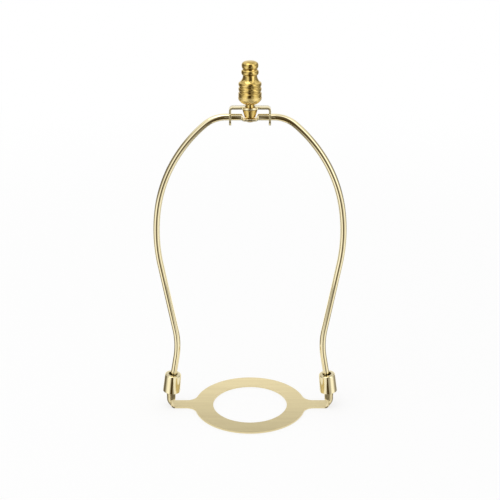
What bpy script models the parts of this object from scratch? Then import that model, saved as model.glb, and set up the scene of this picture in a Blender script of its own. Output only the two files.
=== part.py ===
# Lamp harp with its finial, standing in its saddle.
#
# The harp's plane is XZ, Z is up and the origin is the centre of the saddle ring on its underside.
# Lengths are written in millimetres and multiplied by MM where a mesh is made. Headings along the
# bent wire are degrees turned down from +X: 0 runs outward, 90 runs straight down and more runs
# inward. Leans are degrees from upright.

import bmesh
import bpy
from math import asin, atan2, ceil, cos, degrees, hypot, pi, radians, sin, sqrt, tan
from mathutils import Matrix, Vector

MM = 0.001
GAP = 0.3

# The harp as a whole
HARP_SIZE = 203.2
SEAT_ABOVE_WIRE = 6.5
WIRE_R = 2.06

# The wire's run, from the middle of the top down to one foot
TOP_PAST_LUG = 2.05
CORNER_R = 19.5
CORNER_HEADING = 40.7
SHOULDER_R = 88.8
SHOULDER_LEAN_OUT = 8.85
BELLY_R = 111.0
WAIST_LEAN_IN = 10.42
ANKLE_R = 57.0
ANKLE_LEAN_OUT = 9.72
ANKLE_STRAIGHT = 9.9
FOOT_BEND_R = 25.0
FOOT_LEAN_OUT = 4.5
FOOT_PAST_EAR = 1.45

# The threaded stud
THREAD_R = 3.0
THREAD_LENGTH = 11.6
THREAD_CHAMFER = 0.6
THREAD_START = 0.5
RELIEF_DEPTH = 0.7
NECK_HEIGHT = 1.7
STRAP_HOLE_EASE = 0.15
SHANK_R = 1.5
RIVET_RIM = 1.0
RIVET_HEIGHT = 0.7
BOSS_R_LOW = 3.3
BOSS_RIM = 1.48
BOSS_DOME = 0.5
BOSS_BREAK = 0.2

# The coined pad in the middle of the wire, where the stud is riveted
PAD_RIM_ALONG = 0.1
PAD_RIM_ACROSS = 0.4
PAD_SHOULDER = 1.8
PAD_THICK = 1.6
PAD_EDGE_R = 0.75

# The flattened foot at the end of each leg, with a lip at its outer edge
FOOT_LENGTH = 3.0
FOOT_TAPER = 3.0
FOOT_HALF_THICK = 1.75
FOOT_OUT = 2.3
FOOT_IN = 2.0
FOOT_CORNER_R = 1.6
FOOT_CHAMFER = 0.5
LIP_LENGTH = 1.2
LIP_STEP = 0.2
FOOT_DROP = 1.2

# The saddle: a flat ring with two arms that turn up into channel-shaped ears
PLATE_T = 0.95
RING_HOLE_R = 24.6
RING_WIDTH = 12.2
ARM_FILLET_R = 7.0
BEND_R = 5.5
EAR_TOP = 22.4
EAR_SIDE_EASE = 0.69
EAR_WEB_FLAT = 1.4
EAR_PAST_FOOT = 0.15
EAR_FLARE = 0.8
EAR_HOLE_R = 1.1
EAR_HOLE_ABOVE_BEND = 0.9

# The locking sleeves: the ease is the room between a sleeve and the ear or wire inside it
SLEEVE_LENGTH = 12.4
SLEEVE_WALL = 0.4
SLEEVE_ROOF = 0.5
SLEEVE_EASE_TOP = 0.32
SLEEVE_EASE_LOW = 0.79
SLEEVE_HOLE_EASE = 0.94
SLEEVE_EDGE_R = 0.8
SLEEVE_BREAK = 0.12
SLEEVE_LEAN = 6.4
SLEEVE_SET_OUT = 0.5

# The swivel bracket
STRAP_T = 1.3
STRAP_HALF_LENGTH = 12.6
STRAP_BEND_R = 2.2
STRAP_ARM_HALF = 3.0
STRAP_FILLET_R = 1.0
DISC_RIM = 0.72
LUG_RIM = 1.44
LUG_TIP_DROP = 1.3
LUG_TIP_TURN = 82.0

# The turned finial, its steps counted up from the underside
FINIAL_ABOVE_SEAT = 1.75
FINIAL_LIP = 0.6
FINIAL_FOOT_RISE = 3.0
FINIAL_FOOT_POWER = 1.35
BAND_R = 7.0
BAND_HEIGHT = 3.9
GROOVE_DEPTH = 0.5
GROOVE_WIDTH = 0.8
BEAD_HEIGHT = 2.2
BEAD_BULGE = 0.45
COVE_HEIGHT = 4.4
COVE_R_TOP = 4.25
COLLAR_HEIGHT = 3.2
COLLAR_BULGE = 1.0
KNOB_STEM_R = 4.2
KNOB_STEM_HEIGHT = 0.5
KNOB_R = 5.05
KNOB_LOW_HEIGHT = 1.9
KNOB_LOW_POWER = 1.8
KNOB_TOP_HEIGHT = 2.9
KNOB_TOP_POWER = 2.5

# Fineness of the meshes
WIRE_SAG = 0.04
WIRE_CORNER_POINTS = 5
TURN_STEPS = 40
STUD_STEPS = 32
SLEEVE_STEPS = 36
RING_STEPS = 72
HOLE_STEPS = 28
BEND_STEPS = 9
CURL_STEPS = 5
FLANGE_STEPS = 2
STRAP_STEPS = 6
EDGE_STEPS = 4
SEAT_TRIALS = 8
SHARP_ANGLE = 32.0
TINY = 1e-6

# Sizes that follow
WIRE_Z = HARP_SIZE - SEAT_ABOVE_WIRE
SHOULDER_HEADING = 90.0 - SHOULDER_LEAN_OUT
WAIST_HEADING = 90.0 + WAIST_LEAN_IN
ANKLE_HEADING = 90.0 - ANKLE_LEAN_OUT
FOOT_HEADING = 90.0 - FOOT_LEAN_OUT
TOP_STRAIGHT = STRAP_HALF_LENGTH + TOP_PAST_LUG

PAD_HOLE_R = SHANK_R + GAP
PAD_HALF_LENGTH = BOSS_R_LOW + PAD_RIM_ALONG
PAD_HALF_WIDTH = BOSS_R_LOW + PAD_RIM_ACROSS
PAD_UNDER = WIRE_Z - WIRE_R
PAD_TOP = PAD_UNDER + PAD_THICK

STRAP_UNDER = HARP_SIZE - STRAP_T
STRAP_HOLE_R = THREAD_R + STRAP_HOLE_EASE
BOSS_R_TOP = STRAP_HOLE_R + BOSS_RIM
DISC_R = BOSS_R_TOP + DISC_RIM
LUG_HOLE_R = WIRE_R + GAP
LUG_HALF_WIDTH = LUG_HOLE_R + LUG_RIM
NECK_TOP = HARP_SIZE + NECK_HEIGHT
STUD_TOP = NECK_TOP + THREAD_LENGTH

FOOT_Z = BEND_R - FOOT_DROP
FOOT_STRAIGHT = (EAR_TOP + FOOT_PAST_EAR - FOOT_Z) / cos(radians(FOOT_LEAN_OUT))
RING_R = RING_HOLE_R + RING_WIDTH
EAR_DEPTH = 2.0 * (WIRE_R + EAR_SIDE_EASE + PLATE_T)
EAR_CORNER_R = 0.5 * (EAR_DEPTH - EAR_WEB_FLAT)
EAR_REACH_LOW = PLATE_T + GAP + FOOT_OUT + FOOT_IN + EAR_PAST_FOOT
EAR_REACH_TOP = EAR_REACH_LOW + EAR_FLARE
EAR_FLANGE_Z = BEND_R + EAR_REACH_LOW - EAR_CORNER_R
SLEEVE_HOLE_R = WIRE_R + SLEEVE_HOLE_EASE

FINIAL_Z = HARP_SIZE + FINIAL_ABOVE_SEAT
FINIAL_BORE_R = THREAD_R + GAP
FINIAL_BORE_DEPTH = STUD_TOP + GAP - FINIAL_Z
FINIAL_FOOT_R = FINIAL_BORE_R + FINIAL_LIP
GROOVE_R = BAND_R - GROOVE_DEPTH
BAND_TOP = FINIAL_FOOT_RISE + BAND_HEIGHT
LOW_BEAD_Z = BAND_TOP + GROOVE_WIDTH
HIGH_BEAD_Z = LOW_BEAD_Z + BEAD_HEIGHT + GROOVE_WIDTH
COVE_Z = HIGH_BEAD_Z + BEAD_HEIGHT
COLLAR_Z = COVE_Z + COVE_HEIGHT
KNOB_Z = COLLAR_Z + COLLAR_HEIGHT + KNOB_STEM_HEIGHT
KNOB_WIDEST_Z = KNOB_Z + KNOB_LOW_HEIGHT


def clear_scene():
    for old in list(bpy.data.objects):
        bpy.data.objects.remove(old, do_unlink=True)


def metal(name, colour, roughness):
    material = bpy.data.materials.new(name)
    material.use_nodes = True
    shader = material.node_tree.nodes["Principled BSDF"]
    shader.inputs["Base Color"].default_value = (*colour, 1.0)
    shader.inputs["Metallic"].default_value = 1.0
    shader.inputs["Roughness"].default_value = roughness
    material.diffuse_color = (*colour, 1.0)
    return material


def shade(mesh):
    mesh.shade_smooth()
    mesh.set_sharp_from_angle(angle=radians(SHARP_ANGLE))


def finish_mesh(name, bm, material, origin=(0.0, 0.0, 0.0)):
    """Weld, orient and shade a mesh, and place its object's origin at a point given in mm."""
    bmesh.ops.remove_doubles(bm, verts=bm.verts, dist=2.0 * TINY)
    bmesh.ops.dissolve_degenerate(bm, edges=bm.edges, dist=0.1 * TINY)
    bmesh.ops.recalc_face_normals(bm, faces=bm.faces)
    place = Vector(origin) * MM
    bmesh.ops.translate(bm, verts=bm.verts, vec=-place)
    mesh = bpy.data.meshes.new(name)
    bm.to_mesh(mesh)
    bm.free()
    shade(mesh)
    mesh.materials.append(material)
    piece = bpy.data.objects.new(name, mesh)
    piece.location = place
    bpy.context.collection.objects.link(piece)
    return piece


def add_points(bm, points):
    return [bm.verts.new(Vector(p) * MM) for p in points]


def add_face(bm, verts):
    """Add one face, leaving out corners that fall on the same vertex."""
    corners = [v for i, v in enumerate(verts) if v is not verts[i - 1]]
    if len(corners) > 2:
        bm.faces.new(corners)


def skin(bm, rings, closed=False):
    """Join equal rings of vertices, each ring to the next."""
    count = len(rings)
    for i in range(count if closed else count - 1):
        near = rings[i]
        far = rings[(i + 1) % count]
        for k in range(len(near)):
            m = (k + 1) % len(near)
            add_face(bm, [near[k], near[m], far[m], far[k]])


def cap_ends(bm, rings):
    bm.faces.new(rings[0])
    bm.faces.new(list(reversed(rings[-1])))


def arc(centre, radius, start, end, steps):
    """Points along an arc, both ends included; angles in degrees."""
    points = []
    for i in range(steps + 1):
        turn = radians(start + (end - start) * i / steps)
        points.append((centre[0] + radius * cos(turn), centre[1] + radius * sin(turn)))
    return points


def turned_mesh(profile, steps, frame):
    """Turn a (radius, height) profile about the Z axis of a frame."""
    bm = bmesh.new()
    rings = []
    for radius, height in profile:
        if radius < TINY:
            pole = bm.verts.new((frame @ Vector((0.0, 0.0, height))) * MM)
            rings.append([pole] * steps)
            continue
        ring = []
        for k in range(steps):
            turn = 2.0 * pi * k / steps
            ring.append(frame @ Vector((radius * cos(turn), radius * sin(turn), height)))
        rings.append(add_points(bm, ring))
    on_axis = profile[0][0] < TINY
    skin(bm, rings, closed=not on_axis)
    return bm


def bore(piece, centre, axis, radius, length):
    """Cut a round hole through a piece. The centre is in mm in the world.

    The cutter is turned half a facet, so that its corners stay off the piece's middle lines.
    """
    bm = bmesh.new()
    bmesh.ops.create_cone(
        bm, cap_ends=True, segments=HOLE_STEPS, radius1=radius * MM, radius2=radius * MM,
        depth=length * MM)
    half_facet = Matrix.Rotation(pi / HOLE_STEPS, 4, "Z")
    turn = Vector((0.0, 0.0, 1.0)).rotation_difference(Vector(axis)).to_matrix().to_4x4()
    place = Matrix.Translation(Vector(centre) * MM) @ turn @ half_facet
    bmesh.ops.transform(bm, matrix=place, verts=bm.verts)
    cutter_mesh = bpy.data.meshes.new("cutter")
    bm.to_mesh(cutter_mesh)
    bm.free()
    cutter = bpy.data.objects.new("cutter", cutter_mesh)
    cutter.hide_render = True
    cutter.display_type = "WIRE"
    bpy.context.collection.objects.link(cutter)
    cut = piece.modifiers.new("hole", "BOOLEAN")
    cut.operation = "DIFFERENCE"
    cut.solver = "EXACT"
    cut.object = cutter
    bpy.context.view_layer.update()
    graph = bpy.context.evaluated_depsgraph_get()
    carved = bpy.data.meshes.new_from_object(piece.evaluated_get(graph), depsgraph=graph)
    piece.modifiers.clear()
    piece.data = carved
    shade(carved)
    bpy.data.objects.remove(cutter, do_unlink=True)


class WireRun:
    """Tangent straights and arcs in the harp's plane, from the middle of the top to the right foot."""

    def __init__(self):
        self.x = 0.0
        self.z = WIRE_Z
        self.heading = 0.0
        self.stations = [(self.x, self.z, self.heading)]

    def straight(self, marks):
        """Run on straight, leaving a station at each distance; the last one is the length."""
        turn = radians(self.heading)
        start_x = self.x
        start_z = self.z
        for mark in marks:
            self.x = start_x + mark * cos(turn)
            self.z = start_z - mark * sin(turn)
            self.stations.append((self.x, self.z, self.heading))

    def bend(self, radius, heading):
        """Bend to a new heading, in steps fine enough to keep within the wire's sag."""
        way = 1.0 if heading > self.heading else -1.0
        begin = radians(self.heading)
        centre_x = self.x - way * radius * sin(begin)
        centre_z = self.z - way * radius * cos(begin)
        first = self.heading
        steps = max(2, ceil(radians(abs(heading - first)) / sqrt(8.0 * WIRE_SAG / radius)))
        for i in range(1, steps + 1):
            self.heading = first + (heading - first) * i / steps
            turn = radians(self.heading)
            self.x = centre_x + way * radius * sin(turn)
            self.z = centre_z + way * radius * cos(turn)
            self.stations.append((self.x, self.z, self.heading))


def drawn_run(waist_straight):
    """The right half of the wire with a given length for the long inward lean."""
    run = WireRun()
    shoulder = [PAD_HALF_LENGTH + PAD_SHOULDER * i / EDGE_STEPS for i in range(EDGE_STEPS + 1)]
    run.straight(shoulder + [TOP_STRAIGHT])
    run.bend(CORNER_R, CORNER_HEADING)
    run.bend(SHOULDER_R, SHOULDER_HEADING)
    run.bend(BELLY_R, WAIST_HEADING)
    run.straight([waist_straight])
    run.bend(ANKLE_R, ANKLE_HEADING)
    run.straight([ANKLE_STRAIGHT])
    run.bend(FOOT_BEND_R, FOOT_HEADING)
    flat_start = FOOT_STRAIGHT - FOOT_LENGTH
    marks = [flat_start - FOOT_TAPER, flat_start - 0.5 * FOOT_TAPER, flat_start]
    marks += [FOOT_STRAIGHT - LIP_LENGTH, FOOT_STRAIGHT - FOOT_CHAMFER, FOOT_STRAIGHT]
    run.straight(marks)
    return run


def half_run():
    """The right half, its long lean taking up whatever height the bends leave."""
    spare = drawn_run(0.0).z - FOOT_Z
    return drawn_run(spare / cos(radians(WAIST_LEAN_IN))).stations


def leg_x(stations, height):
    """The wire's centre at a height on the lower leg."""
    for (x0, z0, _), (x1, z1, _) in zip(reversed(stations[:-1]), reversed(stations[1:])):
        if z1 <= height <= z0:
            return x1 + (x0 - x1) * (height - z1) / (z0 - z1)
    return stations[-1][0]


def blend(low, high, share):
    """Ease every value of one tuple into another's."""
    t = min(max(share, 0.0), 1.0)
    ease = t * t * (3.0 - 2.0 * t)
    return tuple(a + (b - a) * ease for a, b in zip(low, high))


def wire_section(from_middle, from_foot):
    """Half height in the harp's plane, half width across it, corner radius and outward shift."""
    round_wire = (WIRE_R, WIRE_R, WIRE_R, 0.0)
    if from_middle < PAD_HALF_LENGTH + PAD_SHOULDER:
        pad = (0.5 * PAD_THICK, PAD_HALF_WIDTH, PAD_EDGE_R, 0.5 * PAD_THICK - WIRE_R)
        return blend(pad, round_wire, (from_middle - PAD_HALF_LENGTH) / PAD_SHOULDER)
    half = 0.5 * (FOOT_OUT + FOOT_IN)
    shift = 0.5 * (FOOT_OUT - FOOT_IN)
    flat = (half - 0.5 * LIP_STEP, FOOT_HALF_THICK, FOOT_CORNER_R, shift - 0.5 * LIP_STEP)
    lip = (half, FOOT_HALF_THICK, FOOT_CORNER_R, shift)
    end = (half - FOOT_CHAMFER, FOOT_HALF_THICK - FOOT_CHAMFER, FOOT_CORNER_R - FOOT_CHAMFER, shift)
    if from_foot > FOOT_LENGTH:
        return blend(flat, round_wire, (from_foot - FOOT_LENGTH) / FOOT_TAPER)
    if from_foot > FOOT_CHAMFER:
        return blend(lip, flat, (from_foot - LIP_LENGTH) / (FOOT_LENGTH - LIP_LENGTH))
    return blend(end, lip, from_foot / FOOT_CHAMFER)


def section_points(half_height, half_width, corner_r):
    """A rounded rectangle that becomes a circle when all three sizes are equal."""
    radius = min(corner_r, half_height, half_width)
    points = []
    for quarter in range(4):
        side_h = 1.0 if quarter in (0, 3) else -1.0
        side_w = 1.0 if quarter in (0, 1) else -1.0
        for i in range(WIRE_CORNER_POINTS):
            turn = 0.5 * pi * (quarter + (i + 0.5) / WIRE_CORNER_POINTS)
            height = side_h * (half_height - radius) + radius * cos(turn)
            width = side_w * (half_width - radius) + radius * sin(turn)
            points.append((height, width))
    return points


def run_lengths(stations):
    """Distance along the wire to each station."""
    lengths = [0.0]
    for (x0, z0, _), (x1, z1, _) in zip(stations, stations[1:]):
        lengths.append(lengths[-1] + hypot(x1 - x0, z1 - z0))
    return lengths


def make_wire(stations, material):
    lengths = run_lengths(stations)
    half = list(zip(stations, lengths))
    bm = bmesh.new()
    rings = []
    for side, order in ((-1.0, half[::-1]), (1.0, half[1:])):
        for (x, z, heading), run in order:
            half_height, half_width, corner_r, shift = wire_section(run, lengths[-1] - run)
            turn = radians(heading)
            outward = Vector((side * sin(turn), 0.0, cos(turn)))
            ring = []
            for height, width in section_points(half_height, half_width, corner_r):
                centre = Vector((side * x, width, z))
                ring.append(centre + outward * (height + shift))
            rings.append(add_points(bm, ring))
    skin(bm, rings)
    cap_ends(bm, rings)
    wire = finish_mesh("harp_wire", bm, material)
    bore(wire, (0.0, 0.0, PAD_TOP), (0.0, 0.0, 1.0), PAD_HOLE_R, 4.0 * PAD_THICK)
    return wire


def disc_stations(middle_z):
    """The strap's round middle and its fillet into an arm: x, z, heading and half width."""
    fillet_y = STRAP_ARM_HALF + STRAP_FILLET_R
    fillet_x = sqrt((DISC_R + STRAP_FILLET_R) ** 2 - fillet_y ** 2)
    meet = degrees(atan2(fillet_y, fillet_x))
    outline = arc((0.0, 0.0), DISC_R, 90.0, meet, STRAP_STEPS)
    outline += arc((fillet_x, fillet_y), STRAP_FILLET_R, 180.0 + meet, 270.0, EDGE_STEPS)[1:]
    return [(x, middle_z, 0.0, half) for x, half in outline]


def lug_stations(x):
    """The strap's end: it widens into an eye round the wire and ends in a round tip."""
    shoulder = degrees(asin(min(1.0, STRAP_ARM_HALF / LUG_HALF_WIDTH)))
    eye = arc((WIRE_Z, 0.0), LUG_HALF_WIDTH, shoulder, 90.0, EDGE_STEPS)
    tip = arc((WIRE_Z - LUG_TIP_DROP, 0.0), LUG_HALF_WIDTH, 90.0, 90.0 + LUG_TIP_TURN, STRAP_STEPS)
    return [(x, z, 90.0, half) for z, half in eye + tip]


def strap_run():
    """Half of the bracket's middle surface, from its middle to a lug's tip."""
    middle_z = HARP_SIZE - 0.5 * STRAP_T
    bend_r = STRAP_BEND_R - 0.5 * STRAP_T
    flat = STRAP_HALF_LENGTH - STRAP_BEND_R
    stations = disc_stations(middle_z)
    for i in range(STRAP_STEPS + 1):
        heading = 90.0 * i / STRAP_STEPS
        turn = radians(heading)
        x = flat + bend_r * sin(turn)
        z = middle_z - bend_r * (1.0 - cos(turn))
        stations.append((x, z, heading, STRAP_ARM_HALF))
    return stations + lug_stations(flat + bend_r)


def make_bracket(material):
    bm = bmesh.new()
    rings = []
    stations = strap_run()
    for side, order in ((-1.0, stations[::-1]), (1.0, stations[1:])):
        for x, z, heading, half in order:
            turn = radians(heading)
            outward = Vector((side * sin(turn), 0.0, cos(turn))) * (0.5 * STRAP_T)
            centre = Vector((side * x, 0.0, z))
            across = Vector((0.0, half, 0.0))
            ring = [centre + outward - across, centre + outward + across]
            ring += [centre - outward + across, centre - outward - across]
            rings.append(add_points(bm, ring))
    skin(bm, rings)
    cap_ends(bm, rings)
    bracket = finish_mesh("swivel_bracket", bm, material)
    bore(bracket, (0.0, 0.0, HARP_SIZE), (0.0, 0.0, 1.0), STRAP_HOLE_R, 4.0 * STRAP_T)
    for side in (-1.0, 1.0):
        x = side * (STRAP_HALF_LENGTH - 0.5 * STRAP_T)
        bore(bracket, (x, 0.0, WIRE_Z), (1.0, 0.0, 0.0), LUG_HOLE_R, 4.0 * STRAP_T)
    return bracket


def make_stud(material):
    """One turning: rivet, shank through the pad, boss under the strap, neck and threaded end."""
    rivet_z = PAD_UNDER - GAP
    boss_low = PAD_TOP + GAP
    boss_top = STRAP_UNDER - GAP
    neck_r = STRAP_HOLE_R - GAP
    relief_r = THREAD_R - RELIEF_DEPTH
    thread_z = NECK_TOP + THREAD_START
    profile = []
    for i in range(EDGE_STEPS + 1):
        turn = 0.5 * pi * i / EDGE_STEPS
        profile.append(((SHANK_R + RIVET_RIM) * sin(turn), rivet_z - RIVET_HEIGHT * cos(turn)))
    profile += [(SHANK_R, rivet_z), (SHANK_R, boss_low)]
    for i in range(1, EDGE_STEPS + 1):
        turn = 0.5 * pi * i / EDGE_STEPS
        radius = SHANK_R + (BOSS_R_LOW - SHANK_R) * sin(turn)
        profile.append((radius, boss_low + BOSS_DOME * (1.0 - cos(turn))))
    profile += [(BOSS_R_TOP, boss_top - BOSS_BREAK), (BOSS_R_TOP - BOSS_BREAK, boss_top)]
    profile += [(neck_r, boss_top), (neck_r, HARP_SIZE), (relief_r, NECK_TOP)]
    profile += [(relief_r, thread_z), (THREAD_R, thread_z)]
    profile += [(THREAD_R, STUD_TOP - THREAD_CHAMFER), (THREAD_R - THREAD_CHAMFER, STUD_TOP)]
    profile.append((0.0, STUD_TOP))
    bm = turned_mesh(profile, STUD_STEPS, Matrix.Identity(4))
    return finish_mesh("stud", bm, material, (0.0, 0.0, HARP_SIZE))


def swell(radius, low, height, bulge, steps):
    """A rounded bead standing proud of a radius, from its top edge to its lower edge."""
    points = []
    for i in range(steps + 1):
        turn = pi * i / steps
        points.append((radius + bulge * sin(turn), low + 0.5 * height * (1.0 + cos(turn))))
    return points


def soft_corner(radius, height, reach, rise, power, start, end, steps):
    """Part of a superellipse about a point of the profile; angles in degrees."""
    points = []
    for i in range(steps + 1):
        turn = radians(start + (end - start) * i / steps)
        out = max(cos(turn), 0.0) ** (2.0 / power)
        up = abs(sin(turn)) ** (2.0 / power)
        points.append((radius + reach * out, height + rise * up))
    return points


def cove(steps):
    """The hollow flare from the collar's neck out to the high bead."""
    flare = GROOVE_R - COVE_R_TOP
    cove_r = (COVE_HEIGHT ** 2 + flare ** 2) / (2.0 * flare)
    points = []
    for i in range(1, steps + 1):
        fall = COVE_HEIGHT * i / steps
        points.append((COVE_R_TOP + cove_r - sqrt(cove_r ** 2 - fall ** 2), COLLAR_Z - fall))
    return points


def finial_outline():
    """The turned outline from the tip down to the underside."""
    outline = soft_corner(0.0, KNOB_WIDEST_Z, KNOB_R, KNOB_TOP_HEIGHT, KNOB_TOP_POWER, 90.0, 0.0, 7)
    outline += soft_corner(KNOB_STEM_R, KNOB_WIDEST_Z, KNOB_R - KNOB_STEM_R, -KNOB_LOW_HEIGHT,
                           KNOB_LOW_POWER, 0.0, 90.0, 3)[1:]
    outline += swell(COVE_R_TOP, COLLAR_Z, COLLAR_HEIGHT, COLLAR_BULGE, 6)
    outline += cove(5)
    outline += swell(GROOVE_R, HIGH_BEAD_Z, BEAD_HEIGHT, BEAD_BULGE, 4)[1:]
    outline += swell(GROOVE_R, LOW_BEAD_Z, BEAD_HEIGHT, BEAD_BULGE, 4)
    outline += arc((GROOVE_R, BAND_TOP - GROOVE_DEPTH), GROOVE_DEPTH, 90.0, 0.0, 2)
    outline += soft_corner(FINIAL_FOOT_R, FINIAL_FOOT_RISE, BAND_R - FINIAL_FOOT_R, -FINIAL_FOOT_RISE,
                           FINIAL_FOOT_POWER, 0.0, 90.0, 5)
    return outline


def make_finial(material):
    profile = finial_outline()
    profile += [(FINIAL_BORE_R, 0.0), (FINIAL_BORE_R, FINIAL_BORE_DEPTH), (0.0, FINIAL_BORE_DEPTH)]
    place = (0.0, 0.0, FINIAL_Z)
    bm = turned_mesh(profile, TURN_STEPS, Matrix.Translation(place))
    return finish_mesh("finial", bm, material, place)


def web_face_x(stations):
    """Outer face of an ear's web, just clear of the foot."""
    return stations[-1][0] + FOOT_OUT + GAP + PLATE_T


def ear_stations(web_x):
    """Middle surface up the centre of one ear: x, z, heading up from flat, curl and flange."""
    half_t = 0.5 * PLATE_T
    bend_x = web_x - BEND_R
    bend_r = BEND_R - half_t
    upright = 0.5 * pi
    stations = [(bend_x, half_t, 0.0, 0.0, 0.0)]
    for i in range(1, BEND_STEPS + 1):
        turn = upright * i / BEND_STEPS
        (curl,) = blend((0.0,), (upright,), i / BEND_STEPS)
        stations.append((bend_x + bend_r * sin(turn), BEND_R - bend_r * cos(turn), turn, curl, 0.0))
    low_flange = EAR_REACH_LOW - EAR_CORNER_R
    for i in range(1, CURL_STEPS + 1):
        turn = upright * i / CURL_STEPS
        z = BEND_R + (EAR_FLANGE_Z - BEND_R) * (1.0 - cos(turn))
        stations.append((web_x - half_t, z, upright, upright, low_flange * sin(turn)))
    stations.append((web_x - half_t, EAR_TOP, upright, upright, EAR_REACH_TOP - EAR_CORNER_R))
    return stations


def ear_section(curl, flange):
    """Across one side of the strip: y, depth towards the channel, and the surface's own turn."""
    wrap = 0.5 * pi * (EAR_CORNER_R - 0.5 * PLATE_T)
    flat_half = 0.5 * EAR_WEB_FLAT
    points = [(flat_half, 0.0, 0.0)]
    for i in range(1, CURL_STEPS + 1):
        share = i / CURL_STEPS
        turn = curl * share
        if curl > TINY:
            radius = wrap / curl
            points.append((flat_half + radius * sin(turn), radius * (1.0 - cos(turn)), turn))
        else:
            points.append((flat_half + wrap * share, 0.0, 0.0))
    y, depth, turn = points[-1]
    for i in range(1, FLANGE_STEPS + 1):
        reach = flange * i / FLANGE_STEPS
        points.append((y + reach * cos(curl), depth + reach * sin(curl), curl))
    return points


def ear_rows(web_x, side):
    """Outer and inner points of one ear, row by row."""
    outer = []
    inner = []
    for x, z, heading, curl, flange in ear_stations(web_x):
        inward = Vector((-sin(heading), 0.0, cos(heading)))
        out_row = []
        in_row = []
        half = ear_section(curl, flange)
        for way, points in ((-1.0, half[::-1]), (1.0, half)):
            for y, depth, turn in points:
                middle = Vector((x, way * y, z)) + inward * depth
                normal = inward * cos(turn) - Vector((0.0, way * sin(turn), 0.0))
                for row, shift in ((out_row, -0.5 * PLATE_T), (in_row, 0.5 * PLATE_T)):
                    point = middle + normal * shift
                    row.append(Vector((side * point.x, point.y, point.z)))
        outer.append(out_row)
        inner.append(in_row)
    return outer, inner


def add_ear(bm, web_x, side):
    outer, inner = ear_rows(web_x, side)
    out_verts = [add_points(bm, row) for row in outer]
    in_verts = [add_points(bm, row) for row in inner]
    for grid in (out_verts, in_verts):
        for near, far in zip(grid, grid[1:]):
            for k in range(len(near) - 1):
                bm.faces.new([near[k], near[k + 1], far[k + 1], far[k]])
    for i in range(len(out_verts) - 1):
        for k in (0, -1):
            bm.faces.new([out_verts[i][k], out_verts[i + 1][k], in_verts[i + 1][k], in_verts[i][k]])
    for k in range(len(out_verts[-1]) - 1):
        bm.faces.new([out_verts[-1][k], out_verts[-1][k + 1], in_verts[-1][k + 1], in_verts[-1][k]])


def plate_outline(join_x):
    """The ring with its two arms, anticlockwise from the right arm's end."""
    half = ear_section(0.0, 0.0)[:CURL_STEPS + 1]
    arm_half = half[-1][0]
    end_ys = [-y for y, _, _ in half[::-1]] + [y for y, _, _ in half]
    room = ((join_x - PLATE_T) ** 2 - RING_R ** 2 + arm_half ** 2) / (2.0 * (RING_R - arm_half))
    fillet_r = min(ARM_FILLET_R, room)
    fillet_x = sqrt((RING_R + fillet_r) ** 2 - (arm_half + fillet_r) ** 2)
    meet = degrees(atan2(arm_half + fillet_r, fillet_x))
    fillet = arc((fillet_x, arm_half + fillet_r), fillet_r, 270.0, 180.0 + meet, STRAP_STEPS)
    rim = arc((0.0, 0.0), RING_R, meet, 180.0 - meet, RING_STEPS // 2)[1:-1]
    upper = fillet + rim + [(-x, y) for x, y in fillet[::-1]]
    lower = [(x, -y) for x, y in upper[::-1]]
    right_end = [(join_x, y) for y in end_ys]
    left_end = [(-join_x, y) for y in end_ys[::-1]]
    return right_end + upper + left_end + lower


def add_plate(bm, join_x):
    outline = plate_outline(join_x)
    hole = arc((0.0, 0.0), RING_HOLE_R, 0.0, 360.0, RING_STEPS)[:-1]
    layers = []
    for z in (0.0, PLATE_T):
        loops = []
        edges = []
        for points in (outline, hole):
            verts = add_points(bm, [(x, y, z) for x, y in points])
            edges += [bm.edges.new((verts[k - 1], verts[k])) for k in range(len(verts))]
            loops.append(verts)
        bmesh.ops.triangle_fill(bm, use_beauty=True, edges=edges)
        layers.append(loops)
    for low, top, points in zip(layers[0], layers[1], (outline, hole)):
        for k in range(len(low)):
            at_arm_end = abs(points[k - 1][0]) == join_x and abs(points[k][0]) == join_x
            if not at_arm_end:
                bm.faces.new([low[k - 1], low[k], top[k], top[k - 1]])


def make_saddle(stations, material):
    web_x = web_face_x(stations)
    bm = bmesh.new()
    add_plate(bm, web_x - BEND_R)
    for side in (-1.0, 1.0):
        add_ear(bm, web_x, side)
    saddle = finish_mesh("saddle", bm, material)
    for side in (-1.0, 1.0):
        centre = (side * (web_x - 0.5 * PLATE_T), 0.0, BEND_R + EAR_HOLE_ABOVE_BEND)
        bore(saddle, centre, (1.0, 0.0, 0.0), EAR_HOLE_R, 4.0 * PLATE_T)
    return saddle


def ear_girth(axis_x, web_x, height):
    """Radius about a point that just takes in the ear at a height."""
    share = min(max((height - EAR_FLANGE_Z) / (EAR_TOP - EAR_FLANGE_Z), 0.0), 1.0)
    edge_x = web_x - EAR_REACH_LOW - EAR_FLARE * share
    to_edge = hypot(axis_x - edge_x, 0.5 * EAR_DEPTH)
    to_corner = hypot(web_x - EAR_CORNER_R - axis_x, 0.5 * EAR_WEB_FLAT) + EAR_CORNER_R
    return max(to_edge, to_corner)


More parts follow.
